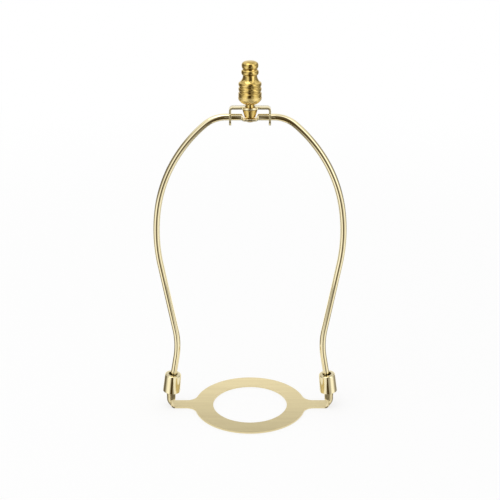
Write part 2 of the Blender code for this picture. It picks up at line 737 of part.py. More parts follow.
def sleeve_fit(stations, web_x):
    """Middle of the sleeve's open end, its radius there and its radius at the roof.

    The roof sits just above the ear's highest corner, its hole set a little out from the wire.
    """
    lean = radians(SLEEVE_LEAN)
    axis = Vector((-sin(lean), 0.0, cos(lean)))
    ear_corner = Vector((web_x - EAR_REACH_TOP, 0.0, EAR_TOP))
    roof = Vector((0.0, 0.0, EAR_TOP))
    for _ in range(SEAT_TRIALS):
        roof.x = leg_x(stations, roof.z) + SLEEVE_SET_OUT
        roof.z += GAP + 0.5 * SLEEVE_ROOF - (roof - ear_corner).dot(axis)
    foot = roof - axis * (SLEEVE_LENGTH - 0.5 * SLEEVE_ROOF)
    top_x = roof.x + (roof.z - EAR_TOP) * tan(lean)
    low_r = ear_girth(foot.x, web_x, foot.z) + SLEEVE_EASE_LOW + SLEEVE_WALL
    top_r = ear_girth(top_x, web_x, EAR_TOP) + SLEEVE_EASE_TOP + SLEEVE_WALL
    return foot, low_r, top_r


def sleeve_profile(low_r, top_r):
    """A slightly conical cap, open below, with a hole for the wire in its roof."""
    inner_edge = SLEEVE_EDGE_R - 0.5 * SLEEVE_WALL
    roof_under = SLEEVE_LENGTH - SLEEVE_ROOF
    outer_centre = (top_r - SLEEVE_EDGE_R, SLEEVE_LENGTH - SLEEVE_EDGE_R)
    inner_centre = (top_r - SLEEVE_WALL - inner_edge, roof_under - inner_edge)
    profile = [(low_r - SLEEVE_WALL, 0.0), (low_r - SLEEVE_BREAK, 0.0), (low_r, SLEEVE_BREAK)]
    profile += arc(outer_centre, SLEEVE_EDGE_R, 0.0, 90.0, EDGE_STEPS)
    profile += [(SLEEVE_HOLE_R, SLEEVE_LENGTH), (SLEEVE_HOLE_R, roof_under)]
    profile += arc(inner_centre, inner_edge, 90.0, 0.0, EDGE_STEPS)
    return profile


def make_sleeves(stations, colour, roughness):
    foot, low_r, top_r = sleeve_fit(stations, web_face_x(stations))
    profile = sleeve_profile(low_r, top_r)
    for name, side in (("sleeve_left", -1.0), ("sleeve_right", 1.0)):
        place = Vector((side * foot.x, 0.0, foot.z))
        lean = Matrix.Rotation(-side * radians(SLEEVE_LEAN), 4, "Y")
        bm = turned_mesh(profile, SLEEVE_STEPS, Matrix.Translation(place) @ lean)
        finish_mesh(name, bm, metal(name, colour, roughness), place)


def build():
    clear_scene()
    stations = half_run()
    make_saddle(stations, metal("saddle", (0.72, 0.60, 0.36), 0.34))
    make_wire(stations, metal("harp_wire", (0.80, 0.66, 0.38), 0.16))
    make_bracket(metal("swivel_bracket", (0.80, 0.66, 0.38), 0.20))
    make_stud(metal("stud", (0.78, 0.60, 0.28), 0.24))
    make_finial(metal("finial", (0.74, 0.54, 0.20), 0.18))
    make_sleeves(stations, (0.80, 0.66, 0.38), 0.18)


build()
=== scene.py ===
from math import asin, atan2, ceil, cos, degrees, hypot, pi, radians, sin, sqrt, tan

import bmesh
import bpy
from mathutils import Matrix, Vector


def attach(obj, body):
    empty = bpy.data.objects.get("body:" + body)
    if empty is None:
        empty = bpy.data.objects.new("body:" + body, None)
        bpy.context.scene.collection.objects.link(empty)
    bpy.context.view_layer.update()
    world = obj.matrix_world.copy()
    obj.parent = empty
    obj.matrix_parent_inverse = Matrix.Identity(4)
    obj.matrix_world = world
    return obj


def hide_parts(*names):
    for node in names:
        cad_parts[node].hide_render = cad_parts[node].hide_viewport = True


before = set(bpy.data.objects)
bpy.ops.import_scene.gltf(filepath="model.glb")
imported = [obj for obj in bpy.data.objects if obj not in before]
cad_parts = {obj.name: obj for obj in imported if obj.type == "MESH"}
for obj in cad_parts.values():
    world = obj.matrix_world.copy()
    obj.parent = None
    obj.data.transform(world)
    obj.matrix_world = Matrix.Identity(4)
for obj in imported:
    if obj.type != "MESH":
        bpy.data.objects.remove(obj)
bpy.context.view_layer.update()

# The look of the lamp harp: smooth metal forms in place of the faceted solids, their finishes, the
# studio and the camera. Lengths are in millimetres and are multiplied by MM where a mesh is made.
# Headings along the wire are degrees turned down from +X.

MM = 0.001
GAP = 0.3

# The harp as a whole
HARP_SIZE = 203.2
SEAT_ABOVE_WIRE = 6.5
WIRE_R = 2.06

# The wire's run, from the middle of the top down to one foot
TOP_PAST_LUG = 2.05
CORNER_R = 19.5
CORNER_HEADING = 40.7
SHOULDER_R = 88.8
SHOULDER_LEAN_OUT = 8.85
BELLY_R = 111.0
WAIST_LEAN_IN = 10.42
ANKLE_R = 57.0
ANKLE_LEAN_OUT = 9.72
ANKLE_STRAIGHT = 9.9
FOOT_BEND_R = 25.0
FOOT_LEAN_OUT = 4.5
FOOT_PAST_EAR = 1.45

# The threaded stud
THREAD_R = 3.0
THREAD_DEPTH = 0.42
THREAD_PITCH = 0.94
THREAD_LENGTH = 11.6
THREAD_CHAMFER = 0.6
THREAD_START = 0.5
RELIEF_DEPTH = 0.7
NECK_HEIGHT = 1.7
STRAP_HOLE_EASE = 0.15
SHANK_R = 1.5
RIVET_RIM = 1.0
RIVET_HEIGHT = 0.7
BOSS_R_LOW = 3.3
BOSS_RIM = 1.48
BOSS_DOME = 0.5
BOSS_BREAK = 0.2

# The coined pad in the middle of the wire
PAD_RIM_ALONG = 0.1
PAD_RIM_ACROSS = 0.4
PAD_SHOULDER = 1.8
PAD_THICK = 1.6
PAD_EDGE_R = 0.75

# The flattened foot at the end of each leg
FOOT_LENGTH = 3.0
FOOT_TAPER = 3.0
FOOT_HALF_THICK = 1.75
FOOT_OUT = 2.3
FOOT_IN = 2.0
FOOT_CORNER_R = 1.6
FOOT_CHAMFER = 0.5
LIP_LENGTH = 1.2
LIP_STEP = 0.2
FOOT_DROP = 1.2

# The saddle
PLATE_T = 0.95
RING_HOLE_R = 24.6
RING_WIDTH = 12.2
ARM_FILLET_R = 7.0
BEND_R = 5.5
EAR_TOP = 22.4
EAR_SIDE_EASE = 0.69
EAR_WEB_FLAT = 1.4
EAR_PAST_FOOT = 0.15
EAR_FLARE = 0.8
EAR_HOLE_R = 1.1
EAR_HOLE_ABOVE_BEND = 0.9
PLATE_BREAK = 0.11

# The locking sleeves
SLEEVE_LENGTH = 12.4
SLEEVE_WALL = 0.4
SLEEVE_ROOF = 0.5
SLEEVE_EASE_TOP = 0.32
SLEEVE_EASE_LOW = 0.79
SLEEVE_HOLE_EASE = 0.94
SLEEVE_EDGE_R = 0.8
SLEEVE_BREAK = 0.12
SLEEVE_LEAN = 6.4
SLEEVE_SET_OUT = 0.5

# The swivel bracket
STRAP_T = 1.3
STRAP_HALF_LENGTH = 12.6
STRAP_BEND_R = 2.2
STRAP_ARM_HALF = 3.0
STRAP_FILLET_R = 1.0
STRAP_EDGE_R = 0.22
DISC_RIM = 0.72
LUG_RIM = 1.44
LUG_TIP_DROP = 1.3
LUG_TIP_TURN = 82.0

# The turned finial, its steps counted up from the underside
FINIAL_ABOVE_SEAT = 1.75
FINIAL_LIP = 0.6
FINIAL_FOOT_RISE = 3.0
FINIAL_FOOT_POWER = 1.35
BAND_R = 7.0
BAND_HEIGHT = 3.9
GROOVE_DEPTH = 0.5
GROOVE_WIDTH = 0.8
BEAD_HEIGHT = 2.2
BEAD_BULGE = 0.45
COVE_HEIGHT = 4.4
COVE_R_TOP = 4.25
COLLAR_HEIGHT = 3.2
COLLAR_BULGE = 1.0
KNOB_STEM_R = 4.2
KNOB_STEM_HEIGHT = 0.5
KNOB_R = 5.05
KNOB_LOW_HEIGHT = 1.9
KNOB_LOW_POWER = 1.8
KNOB_TOP_HEIGHT = 2.9
KNOB_TOP_POWER = 2.5

# Fineness of the meshes: counts, millimetres and degrees
WIRE_SAG = 0.0025
WIRE_CORNER_POINTS = 10
STRAP_CORNER_POINTS = 4
TURN_STEPS = 128
SLEEVE_STEPS = 128
RING_STEPS = 240
HOLE_STEPS = 72
BEND_STEPS = 28
CURL_STEPS = 12
FLANGE_STEPS = 2
STRAP_STEPS = 20
EDGE_STEPS = 10
BEAD_STEPS = 14
KNOB_STEPS = 28
THREAD_SIDES = 72
THREAD_ROWS_A_TURN = 10
BOSS_BREAK_STEPS = 5
SLEEVE_BREAK_STEPS = 4
PLATE_BREAK_SEGMENTS = 2
PLATE_BREAK_ANGLE = 50.0
WIRE_EASE = 0.03
SEAT_TRIALS = 8
SHARP_ANGLE = 32.0
TINY = 1e-6

# The length of a hole's cutter, in thicknesses of what it cuts
CUTTER_REACH = 4.0

# Vertices nearer than the first are welded and edges shorter than the second dissolved, in metres
WELD_DISTANCE = 2e-6
SLIVER_LENGTH = 1e-7

# Sizes that follow
WIRE_Z = HARP_SIZE - SEAT_ABOVE_WIRE
SHOULDER_HEADING = 90.0 - SHOULDER_LEAN_OUT
WAIST_HEADING = 90.0 + WAIST_LEAN_IN
ANKLE_HEADING = 90.0 - ANKLE_LEAN_OUT
FOOT_HEADING = 90.0 - FOOT_LEAN_OUT
TOP_STRAIGHT = STRAP_HALF_LENGTH + TOP_PAST_LUG
PAD_HOLE_R = SHANK_R + GAP
PAD_HALF_LENGTH = BOSS_R_LOW + PAD_RIM_ALONG
PAD_HALF_WIDTH = BOSS_R_LOW + PAD_RIM_ACROSS
PAD_UNDER = WIRE_Z - WIRE_R
PAD_TOP = PAD_UNDER + PAD_THICK
STRAP_UNDER = HARP_SIZE - STRAP_T
STRAP_HOLE_R = THREAD_R + STRAP_HOLE_EASE
BOSS_R_TOP = STRAP_HOLE_R + BOSS_RIM
DISC_R = BOSS_R_TOP + DISC_RIM
LUG_HOLE_R = WIRE_R + GAP
LUG_HALF_WIDTH = LUG_HOLE_R + LUG_RIM
NECK_TOP = HARP_SIZE + NECK_HEIGHT
STUD_TOP = NECK_TOP + THREAD_LENGTH
FOOT_Z = BEND_R - FOOT_DROP
FOOT_STRAIGHT = (EAR_TOP + FOOT_PAST_EAR - FOOT_Z) / cos(radians(FOOT_LEAN_OUT))
RING_R = RING_HOLE_R + RING_WIDTH
EAR_DEPTH = 2.0 * (WIRE_R + EAR_SIDE_EASE + PLATE_T)
EAR_CORNER_R = 0.5 * (EAR_DEPTH - EAR_WEB_FLAT)
EAR_REACH_LOW = PLATE_T + GAP + FOOT_OUT + FOOT_IN + EAR_PAST_FOOT
EAR_REACH_TOP = EAR_REACH_LOW + EAR_FLARE
EAR_FLANGE_Z = BEND_R + EAR_REACH_LOW - EAR_CORNER_R
SLEEVE_HOLE_R = WIRE_R + SLEEVE_HOLE_EASE
FINIAL_Z = HARP_SIZE + FINIAL_ABOVE_SEAT
FINIAL_BORE_R = THREAD_R + GAP
FINIAL_BORE_DEPTH = STUD_TOP + GAP - FINIAL_Z
FINIAL_FOOT_R = FINIAL_BORE_R + FINIAL_LIP
GROOVE_R = BAND_R - GROOVE_DEPTH
BAND_TOP = FINIAL_FOOT_RISE + BAND_HEIGHT
LOW_BEAD_Z = BAND_TOP + GROOVE_WIDTH
HIGH_BEAD_Z = LOW_BEAD_Z + BEAD_HEIGHT + GROOVE_WIDTH
COLLAR_Z = HIGH_BEAD_Z + BEAD_HEIGHT + COVE_HEIGHT
KNOB_Z = COLLAR_Z + COLLAR_HEIGHT + KNOB_STEM_HEIGHT
KNOB_WIDEST_Z = KNOB_Z + KNOB_LOW_HEIGHT

# The finishes: how the noise is read, and the matte foot of the finial with its painted reflection
NOISE_LOW = 0.3
NOISE_HIGH = 0.7
TINT_LOW = 0.35
TINT_HIGH = 0.65
TINT_DETAIL = 3.0
GRAIN_DETAIL = 4.0
MATTE_AND_REFLECTION_RISE = 1.5
MATTE_AND_REFLECTION_EDGE = 0.2
MATTE_ROUGHNESS = 0.46
# The foot's lighter colour is a painted reflection, not a colour of the metal
PAINTED_REFLECTION_TINT = (1.0, 0.78, 0.32, 1.0)

# The camera, the floor and the lamp: lengths in metres, the lamp's power in watts
CAMERA_DISTANCE = 0.62
CAMERA_HEIGHT = 0.352
AIM_HEIGHT = 0.111
LENS_MM = 76.0
FLOOR_DROP = 0.0002
FLOOR_HALF = 6.0
FLOOR_PAPER = 0.93
FLOOR_WHITE_NEAR = 0.72
FLOOR_FADE_FROM = 0.12
FLOOR_FADE_TO = 0.9
PLAIN_LEVEL = 0.86
KEY_SIZE = 0.75
KEY_ENERGY = 3.4
KEY_PLACE = (-0.35, -0.25, 1.3)
KEY_AIM = (0.0, 0.0, 0.05)

# What the metal reflects, by the height of a direction: -1 straight down, 0 level, 1 straight up.
# Towards the front the pale top begins higher up, and in front and behind the dark underside
# reaches higher up.
HORIZON_FROM = -0.2
HORIZON_TO = -0.03
TOP_FROM = 0.36
TOP_TO = 0.50
TOP_LIFT = 0.5
ZENITH_FROM = 0.78
ZENITH_TO = 0.94
ZENITH_DIM = 0.35
UNDER_FROM = -0.95
UNDER_TO = -0.78
UNDER_SINK = 0.3
UNDER_LEVEL = 0.08
WALL_DARK = (0.07, 0.046, 0.012, 1.0)
WALL_LIGHT = (1.0, 1.0, 1.0, 1.0)

# The walls below and above the horizon, from the back round by the left, the front and the right
# to the back again: (share of the full turn, level)
LOW_WALLS = [(0.0, 1.0), (0.09, 0.95), (0.13, 0.12), (0.225, 0.12), (0.28, 0.70), (0.33, 1.2),
             (0.40, 1.2), (0.435, 0.60), (0.459, 0.0), (0.521, 0.0), (0.542, 0.42), (0.60, 0.52),
             (0.64, 1.2), (0.71, 1.2), (0.76, 0.60), (0.80, 0.28), (0.88, 0.28), (0.93, 0.95),
             (1.0, 1.0)]
HIGH_WALLS = [(0.0, 1.0), (0.09, 0.95), (0.13, 0.15), (0.26, 0.15), (0.30, 0.40), (0.345, 0.50),
              (0.365, 1.15), (0.43, 1.15), (0.455, 0.40), (0.478, 0.04), (0.56, 0.04), (0.59, 0.50),
              (0.61, 1.80), (0.665, 1.80), (0.69, 0.60), (0.75, 0.50), (0.80, 0.28), (0.88, 0.28),
              (0.93, 0.95), (1.0, 1.0)]

# Cards that only the metal sees, in metres: name, (width, height), middle, tilt up from flat in
# degrees, and levels at the lower and the upper edge, or at the front and the back of a flat card
CARDS = [("back_card", (0.5, 0.16), (0.0, 0.10, 0.085), 90.0, (1.28, 0.12)),
         ("front_card", (0.088, 0.07), (0.0, -0.045, 0.0355), 90.0, (1.1, 0.5)),
         ("arm_card", (0.10, 0.016), (0.0, -0.008, -0.00012), 0.0, (1.0, 1.0)),
         ("floor_card", (0.084, 0.10), (0.0, -0.002, -0.0001), 0.0, (1.0, 1.0)),
         ("lug_card_left", (0.0105, 0.017), (-0.01125, -0.06, 0.1845), 90.0, (0.6, 0.6)),
         ("lug_card_right", (0.0105, 0.017), (0.01125, -0.06, 0.1845), 90.0, (0.6, 0.6))]


def shade(mesh):
    mesh.shade_smooth()
    mesh.set_sharp_from_angle(angle=radians(SHARP_ANGLE))


def finish_mesh(name, bm, material, body, node):
    """Weld and shade a mesh, hang it on its body and let it stand for its solid."""
    bmesh.ops.remove_doubles(bm, verts=bm.verts, dist=WELD_DISTANCE)
    bmesh.ops.dissolve_degenerate(bm, edges=bm.edges, dist=SLIVER_LENGTH)
    bmesh.ops.recalc_face_normals(bm, faces=bm.faces)
    mesh = bpy.data.meshes.new(name)
    bm.to_mesh(mesh)
    bm.free()
    shade(mesh)
    mesh.materials.append(material)
    piece = bpy.data.objects.new(name, mesh)
    bpy.context.collection.objects.link(piece)
    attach(piece, body)
    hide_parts(node)
    return piece


def add_points(bm, points):
    return [bm.verts.new(Vector(p) * MM) for p in points]


def add_face(bm, verts):
    """Add one face, leaving out corners that fall on the same vertex."""
    corners = [v for i, v in enumerate(verts) if v is not verts[i - 1]]
    if len(corners) > 2:
        bm.faces.new(corners)


def skin(bm, rings, closed=False):
    """Join equal rings of vertices, each ring to the next."""
    count = len(rings)
    for i in range(count if closed else count - 1):
        near = rings[i]
        far = rings[(i + 1) % count]
        for k in range(len(near)):
            m = (k + 1) % len(near)
            add_face(bm, [near[k], near[m], far[m], far[k]])


def cap_ends(bm, rings):
    bm.faces.new(rings[0])
    bm.faces.new(list(reversed(rings[-1])))


def arc(centre, radius, start, end, steps):
    """Points along an arc, both ends included; angles in degrees."""
    points = []
    for i in range(steps + 1):
        turn = radians(start + (end - start) * i / steps)
        points.append((centre[0] + radius * cos(turn), centre[1] + radius * sin(turn)))
    return points


def circle(radius, height, steps):
    """Points round the Z axis."""
    turns = [2.0 * pi * k / steps for k in range(steps)]
    return [(radius * cos(turn), radius * sin(turn), height) for turn in turns]


def turned_mesh(profile, steps, place):
    """Turn a (radius, height) profile about the Z axis of a place."""
    bm = bmesh.new()
    rings = []
    for radius, height in profile:
        if radius < TINY:
            pole = bm.verts.new((place @ Vector((0.0, 0.0, height))) * MM)
            rings.append([pole] * steps)
        else:
            ring = [place @ Vector(point) for point in circle(radius, height, steps)]
            rings.append(add_points(bm, ring))
    on_axis = profile[0][0] < TINY
    skin(bm, rings, closed=not on_axis)
    return bm


def bore(piece, centre, axis, radius, length):
    """Cut a round hole through a piece, the cutter's corners kept off its middle lines."""
    bm = bmesh.new()
    bmesh.ops.create_cone(
        bm, cap_ends=True, segments=HOLE_STEPS, radius1=radius * MM, radius2=radius * MM,
        depth=length * MM)
    half_facet = Matrix.Rotation(pi / HOLE_STEPS, 4, "Z")
    turn = Vector((0.0, 0.0, 1.0)).rotation_difference(Vector(axis)).to_matrix().to_4x4()
    place = Matrix.Translation(Vector(centre) * MM) @ turn @ half_facet
    bmesh.ops.transform(bm, matrix=place, verts=bm.verts)
    cutter_mesh = bpy.data.meshes.new("cutter")
    bm.to_mesh(cutter_mesh)
    bm.free()
    cutter = bpy.data.objects.new("cutter", cutter_mesh)
    bpy.context.collection.objects.link(cutter)
    cut = piece.modifiers.new("hole", "BOOLEAN")
    cut.operation = "DIFFERENCE"
    cut.solver = "EXACT"
    cut.object = cutter
    bpy.context.view_layer.update()
    graph = bpy.context.evaluated_depsgraph_get()
    carved = bpy.data.meshes.new_from_object(piece.evaluated_get(graph), depsgraph=graph)
    piece.modifiers.clear()
    piece.data = carved
    shade(carved)
    bpy.data.objects.remove(cutter, do_unlink=True)


class WireRun:
    """Tangent straights and arcs in the harp's plane, from the middle of the top to the right foot."""

    def __init__(self):
        self.x = 0.0
        self.z = WIRE_Z
        self.heading = 0.0
        self.stations = [(self.x, self.z, self.heading)]

    def straight(self, marks):
        turn = radians(self.heading)
        start_x = self.x
        start_z = self.z
        for mark in marks:
            self.x = start_x + mark * cos(turn)
            self.z = start_z - mark * sin(turn)
            self.stations.append((self.x, self.z, self.heading))

    def bend(self, radius, heading):
        way = 1.0 if heading > self.heading else -1.0
        begin = radians(self.heading)
        centre_x = self.x - way * radius * sin(begin)
        centre_z = self.z - way * radius * cos(begin)
        first = self.heading
        steps = max(2, ceil(radians(abs(heading - first)) / sqrt(8.0 * WIRE_SAG / radius)))
        for i in range(1, steps + 1):
            self.heading = first + (heading - first) * i / steps
            turn = radians(self.heading)
            self.x = centre_x + way * radius * sin(turn)
            self.z = centre_z + way * radius * cos(turn)
            self.stations.append((self.x, self.z, self.heading))


def drawn_run(waist_straight):
    """The right half of the wire with a given length for the long inward lean."""
    run = WireRun()
    shoulder = [PAD_HALF_LENGTH + PAD_SHOULDER * i / EDGE_STEPS for i in range(EDGE_STEPS + 1)]
    run.straight(shoulder + [TOP_STRAIGHT])
    run.bend(CORNER_R, CORNER_HEADING)
    run.bend(SHOULDER_R, SHOULDER_HEADING)
    run.bend(BELLY_R, WAIST_HEADING)
    run.straight([waist_straight])
    run.bend(ANKLE_R, ANKLE_HEADING)
    run.straight([ANKLE_STRAIGHT])
    run.bend(FOOT_BEND_R, FOOT_HEADING)
    flat_start = FOOT_STRAIGHT - FOOT_LENGTH
    marks = [flat_start - FOOT_TAPER * (1.0 - i / EDGE_STEPS) for i in range(EDGE_STEPS + 1)]
    lip_run = FOOT_LENGTH - LIP_LENGTH
    marks += [flat_start + lip_run * i / EDGE_STEPS for i in range(1, EDGE_STEPS + 1)]
    chamfer_start = FOOT_STRAIGHT - FOOT_CHAMFER
    marks += [chamfer_start + FOOT_CHAMFER * i / EDGE_STEPS for i in range(EDGE_STEPS + 1)]
    run.straight(marks)
    return run


def half_run():
    """The right half, its long lean taking up whatever height the bends leave."""
    spare = drawn_run(0.0).z - FOOT_Z
    return drawn_run(spare / cos(radians(WAIST_LEAN_IN))).stations


def leg_x(stations, height):
    """The wire's centre at a height on the lower leg."""
    for (x0, z0, _), (x1, z1, _) in zip(reversed(stations[:-1]), reversed(stations[1:])):
        if z1 <= height <= z0:
            return x1 + (x0 - x1) * (height - z1) / (z0 - z1)
    return stations[-1][0]


def blend(low, high, share):
    """Ease every value of one tuple into another's."""
    t = min(max(share, 0.0), 1.0)
    eased = t * t * (3.0 - 2.0 * t)
    return tuple(a + (b - a) * eased for a, b in zip(low, high))


def wire_section(from_middle, from_foot):
    """Half height in the harp's plane, half width across it, corner radius and outward shift."""
    drawn_r = WIRE_R - WIRE_EASE
    round_wire = (drawn_r, drawn_r, drawn_r, 0.0)
    if from_middle < PAD_HALF_LENGTH + PAD_SHOULDER:
        pad = (0.5 * PAD_THICK, PAD_HALF_WIDTH, PAD_EDGE_R, 0.5 * PAD_THICK - WIRE_R)
        return blend(pad, round_wire, (from_middle - PAD_HALF_LENGTH) / PAD_SHOULDER)
    half = 0.5 * (FOOT_OUT + FOOT_IN)
    shift = 0.5 * (FOOT_OUT - FOOT_IN)
    flat = (half - 0.5 * LIP_STEP, FOOT_HALF_THICK, FOOT_CORNER_R, shift - 0.5 * LIP_STEP)
    lip = (half, FOOT_HALF_THICK, FOOT_CORNER_R, shift)
    if from_foot > FOOT_LENGTH:
        return blend(flat, round_wire, (from_foot - FOOT_LENGTH) / FOOT_TAPER)
    if from_foot > FOOT_CHAMFER:
        return blend(lip, flat, (from_foot - LIP_LENGTH) / (FOOT_LENGTH - LIP_LENGTH))
    rise = max(from_foot, 0.0)
    cut = FOOT_CHAMFER - sqrt(max(FOOT_CHAMFER ** 2 - (FOOT_CHAMFER - rise) ** 2, 0.0))
    return (half - cut, FOOT_HALF_THICK - cut, FOOT_CORNER_R - cut, shift)


def section_points(half_height, half_width, corner_r, count):
    """A rounded rectangle that becomes a circle when all three sizes are equal."""
    radius = min(corner_r, half_height, half_width)
    points = []
    for quarter in range(4):
        side_h = 1.0 if quarter in (0, 3) else -1.0
        side_w = 1.0 if quarter in (0, 1) else -1.0
        for i in range(count):
            turn = 0.5 * pi * (quarter + (i + 0.5) / count)
            height = side_h * (half_height - radius) + radius * cos(turn)
            width = side_w * (half_width - radius) + radius * sin(turn)
            points.append((height, width))
    return points


def run_lengths(stations):
    lengths = [0.0]
    for (x0, z0, _), (x1, z1, _) in zip(stations, stations[1:]):
        lengths.append(lengths[-1] + hypot(x1 - x0, z1 - z0))
    return lengths


def upright_ring(side, x, z, heading, section):
    """A section's (height, width) points, square to a heading in the harp's plane."""
    turn = radians(heading)
    outward = Vector((side * sin(turn), 0.0, cos(turn)))
    return [Vector((side * x, width, z)) + outward * height for height, width in section]


def make_wire(stations, material):
    lengths = run_lengths(stations)
    half = list(zip(stations, lengths))
    bm = bmesh.new()
    rings = []
    for side, order in ((-1.0, half[::-1]), (1.0, half[1:])):
        for (x, z, heading), run in order:
            half_height, half_width, corner_r, shift = wire_section(run, lengths[-1] - run)
            section = section_points(half_height, half_width, corner_r, WIRE_CORNER_POINTS)
            shifted = [(height + shift, width) for height, width in section]
            rings.append(add_points(bm, upright_ring(side, x, z, heading, shifted)))
    skin(bm, rings)
    cap_ends(bm, rings)
    wire = finish_mesh("wire_form", bm, material, "harp", "harp_wire")
    bore(wire, (0.0, 0.0, PAD_TOP), (0.0, 0.0, 1.0), PAD_HOLE_R, CUTTER_REACH * PAD_THICK)


def disc_stations(middle_z):
    """The strap's round middle and its fillet into an arm: x, z, heading and half width."""
    fillet_y = STRAP_ARM_HALF + STRAP_FILLET_R
    fillet_x = sqrt((DISC_R + STRAP_FILLET_R) ** 2 - fillet_y ** 2)
    meet = degrees(atan2(fillet_y, fillet_x))
    outline = arc((0.0, 0.0), DISC_R, 90.0, meet, STRAP_STEPS)
    outline += arc((fillet_x, fillet_y), STRAP_FILLET_R, 180.0 + meet, 270.0, EDGE_STEPS)[1:]
    return [(x, middle_z, 0.0, half) for x, half in outline]


def lug_stations(x):
    """The strap's end: it widens into an eye round the wire and ends in a round tip."""
    shoulder = degrees(asin(min(1.0, STRAP_ARM_HALF / LUG_HALF_WIDTH)))
    eye = arc((WIRE_Z, 0.0), LUG_HALF_WIDTH, shoulder, 90.0, EDGE_STEPS)
    tip = arc((WIRE_Z - LUG_TIP_DROP, 0.0), LUG_HALF_WIDTH, 90.0, 90.0 + LUG_TIP_TURN, STRAP_STEPS)
    return [(x, z, 90.0, half) for z, half in eye + tip]


def strap_run():
    """Half of the bracket's middle surface, from its middle to a lug's tip."""
    middle_z = HARP_SIZE - 0.5 * STRAP_T
    bend_r = STRAP_BEND_R - 0.5 * STRAP_T
    flat = STRAP_HALF_LENGTH - STRAP_BEND_R
    stations = disc_stations(middle_z)
    for i in range(STRAP_STEPS + 1):
        heading = 90.0 * i / STRAP_STEPS
        turn = radians(heading)
        x = flat + bend_r * sin(turn)
        z = middle_z - bend_r * (1.0 - cos(turn))
        stations.append((x, z, heading, STRAP_ARM_HALF))
    return stations + lug_stations(flat + bend_r)


def make_bracket(material):
    bm = bmesh.new()
    rings = []
    stations = strap_run()
    for side, order in ((-1.0, stations[::-1]), (1.0, stations[1:])):
        for x, z, heading, half in order:
            section = section_points(0.5 * STRAP_T, half, STRAP_EDGE_R, STRAP_CORNER_POINTS)
            rings.append(add_points(bm, upright_ring(side, x, z, heading, section)))
    skin(bm, rings)
    cap_ends(bm, rings)
    bracket = finish_mesh("bracket_form", bm, material, "harp", "swivel_bracket")
    bore(bracket, (0.0, 0.0, HARP_SIZE), (0.0, 0.0, 1.0), STRAP_HOLE_R, CUTTER_REACH * STRAP_T)
    for side in (-1.0, 1.0):
        x = side * (STRAP_HALF_LENGTH - 0.5 * STRAP_T)
        bore(bracket, (x, 0.0, WIRE_Z), (1.0, 0.0, 0.0), LUG_HOLE_R, CUTTER_REACH * STRAP_T)


def thread_rings(bm, low, high):
    """Rings of a helical thread, running out to its root at both ends."""
    turns = (high - low) / THREAD_PITCH
    rows = ceil(turns * THREAD_ROWS_A_TURN)
    rings = []
    for i in range(rows + 1):
        z = low + (high - low) * i / rows
        run_out = min((z - low) / THREAD_PITCH, (high - z) / THREAD_CHAMFER, 1.0)
        ring = []
        for k in range(THREAD_SIDES):
            turn = 2.0 * pi * k / THREAD_SIDES
            phase = (z / THREAD_PITCH - k / THREAD_SIDES) % 1.0
            crest = 1.0 - abs(2.0 * phase - 1.0)
            radius = THREAD_R - THREAD_DEPTH * (1.0 - crest * run_out)
            ring.append((radius * cos(turn), radius * sin(turn), z))
        rings.append(add_points(bm, ring))
    return rings


def stud_outline():
    """The stud's turned outline from the rivet up to the start of the thread."""
    rivet_z = PAD_UNDER - GAP
    boss_low = PAD_TOP + GAP
    boss_top = STRAP_UNDER - GAP
    neck_r = STRAP_HOLE_R - GAP
    relief_r = THREAD_R - RELIEF_DEPTH
    profile = []
    for i in range(1, EDGE_STEPS + 1):
        turn = 0.5 * pi * i / EDGE_STEPS
        profile.append(((SHANK_R + RIVET_RIM) * sin(turn), rivet_z - RIVET_HEIGHT * cos(turn)))
    profile += [(SHANK_R, rivet_z), (SHANK_R, boss_low)]
    for i in range(1, EDGE_STEPS + 1):
        turn = 0.5 * pi * i / EDGE_STEPS
        radius = SHANK_R + (BOSS_R_LOW - SHANK_R) * sin(turn)
        profile.append((radius, boss_low + BOSS_DOME * (1.0 - cos(turn))))
    profile += arc((BOSS_R_TOP - BOSS_BREAK, boss_top - BOSS_BREAK), BOSS_BREAK, 0.0, 90.0,
                   BOSS_BREAK_STEPS)
    profile += [(neck_r, boss_top), (neck_r, HARP_SIZE), (relief_r, NECK_TOP)]
    profile.append((relief_r, NECK_TOP + THREAD_START))
    return profile


def make_stud(material):
    bm = bmesh.new()
    rings = [add_points(bm, circle(r, z, THREAD_SIDES)) for r, z in stud_outline()]
    rings += thread_rings(bm, NECK_TOP + THREAD_START, STUD_TOP)
    skin(bm, rings)
    cap_ends(bm, rings)
    finish_mesh("stud_form", bm, material, "stud", "stud")


def swell(radius, low, height, bulge, steps):
    """A rounded bead standing proud of a radius, from its top edge to its lower edge."""
    points = []
    for i in range(steps + 1):
        turn = pi * i / steps
        points.append((radius + bulge * sin(turn), low + 0.5 * height * (1.0 + cos(turn))))
    return points


def soft_corner(radius, height, reach, rise, power, start, end, steps):
    """Part of a superellipse about a point of the profile; angles in degrees."""
    points = []
    for i in range(steps + 1):
        turn = radians(start + (end - start) * i / steps)
        out = max(cos(turn), 0.0) ** (2.0 / power)
        up = abs(sin(turn)) ** (2.0 / power)
        points.append((radius + reach * out, height + rise * up))
    return points


def cove(steps):
    """The hollow flare from the collar's neck out to the high bead."""
    flare = GROOVE_R - COVE_R_TOP
    cove_r = (COVE_HEIGHT ** 2 + flare ** 2) / (2.0 * flare)
    points = []
    for i in range(1, steps + 1):
        fall = COVE_HEIGHT * i / steps
        points.append((COVE_R_TOP + cove_r - sqrt(cove_r ** 2 - fall ** 2), COLLAR_Z - fall))
    return points


